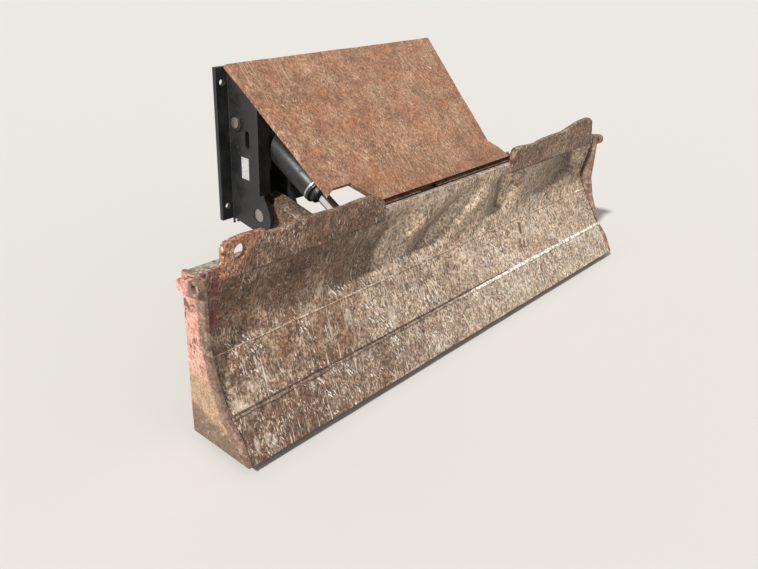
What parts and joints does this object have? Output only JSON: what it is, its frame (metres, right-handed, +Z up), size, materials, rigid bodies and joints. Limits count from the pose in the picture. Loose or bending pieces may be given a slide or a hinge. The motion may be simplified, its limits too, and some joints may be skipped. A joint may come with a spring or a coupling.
{
  "type": "dozer blade assembly",
  "caption": "Dozer blade on arms with hydraulic lift cylinders, a hinged guard plate and a bracket that bolts to a wheeled excavator's chassis.",
  "frame": {"origin": "centre of the bracket's bolting face, in the middle of its bolt holes", "axes": "+Z up, the blade faces -Y, +Y out of the bolting face towards the chassis, +X along the blade to the right-hand end seen from the chassis"},
  "size_m": [2.54, 1, 1.0439],
  "materials": {
    "rusty_steel": "worn paint and rust",
    "guard_steel": "even brown rust with scratches",
    "faded_red_paint": "faded red paint, chalky",
    "worn_edge_steel": "scoured steel",
    "dusty_steel": "dust over worn paint",
    "black_paint": "satin black paint",
    "pin_steel": "bare steel",
    "hard_chrome": "polished"
  },
  "bodies": {
    "bracket": {"mount_plate": "black_paint", "side_plate_left": "black_paint", "side_plate_right": "black_paint", "inner_plate_left": "black_paint", "inner_plate_right": "black_paint", "cross_plate": "black_paint", "rest_bar": "black_paint", "arm_pin_left": "pin_steel", "arm_pin_right": "pin_steel", "base_pin_left": "pin_steel", "base_pin_right": "pin_steel"},
    "blade": {"mouldboard": "rusty_steel", "cutting_edge": "worn_edge_steel", "end_plate_left": "faded_red_paint", "end_plate_right": "faded_red_paint", "top_plate": "dusty_steel", "back_plate": "rusty_steel", "bottom_plate": "rusty_steel", "wing_plate_left": "rusty_steel", "wing_plate_right": "rusty_steel", "end_lug_left": "faded_red_paint", "end_lug_right": "faded_red_paint", "arm_left": "rusty_steel", "arm_right": "rusty_steel", "arm_tube": "rusty_steel", "rod_ears_left": "rusty_steel", "rod_ears_right": "rusty_steel", "rod_pin_left": "pin_steel", "rod_pin_right": "pin_steel", "hinge_ears_left": "rusty_steel", "hinge_ears_right": "rusty_steel", "hinge_pin_left": "pin_steel", "hinge_pin_right": "pin_steel"},
    "guard": {"guard_plate": "guard_steel", "knuckle_left": "rusty_steel", "knuckle_right": "rusty_steel", "guard_stiffeners": "rusty_steel"},
    "barrel_left": {"barrel_left": "black_paint", "gland_left": "worn_edge_steel"},
    "barrel_right": {"barrel_right": "black_paint", "gland_right": "worn_edge_steel"},
    "rod_left": {"rod_left": "hard_chrome"},
    "rod_right": {"rod_right": "hard_chrome"}
  },
  "joints": [
    {"name": "arm_lift", "type": "hinge", "parent": "bracket", "child": "blade", "pos_m": [0, -0.18, -0.268], "axis": [-1, 0, 0], "range_deg": [-10, 24]},
    {"name": "guard_swing", "type": "hinge", "parent": "blade", "child": "guard", "pos_m": [0, -0.66233, -0.13331], "axis": [-1, 0, 0], "range_deg": [-13.37, 5.63]},
    {"name": "barrel_swing_left", "type": "hinge", "parent": "bracket", "child": "barrel_left", "pos_m": [-0.42, -0.067, 0.105], "axis": [-1, 0, 0], "range_deg": [-6.04, 14.35]},
    {"name": "rod_slide_left", "type": "slide", "parent": "barrel_left", "child": "rod_left", "axis": [0, -0.8765, -0.4815], "range_m": [-0.1224, 0.0513]},
    {"name": "barrel_swing_right", "type": "hinge", "parent": "bracket", "child": "barrel_right", "pos_m": [0.42, -0.067, 0.105], "axis": [-1, 0, 0], "range_deg": [-6.04, 14.35]},
    {"name": "rod_slide_right", "type": "slide", "parent": "barrel_right", "child": "rod_right", "axis": [0, -0.8765, -0.4815], "range_m": [-0.1224, 0.0513]}
  ],
  "couplings": [
    {"joint": "guard_swing", "follows": "arm_lift", "ratio": -0.553},
    {"joint": "barrel_swing_left", "follows": "arm_lift", "ratio": 0.5937},
    {"joint": "rod_slide_left", "follows": "arm_lift", "m_per_rad": -0.291},
    {"joint": "barrel_swing_right", "follows": "arm_lift", "ratio": 0.5937},
    {"joint": "rod_slide_right", "follows": "arm_lift", "m_per_rad": -0.291}
  ]
}
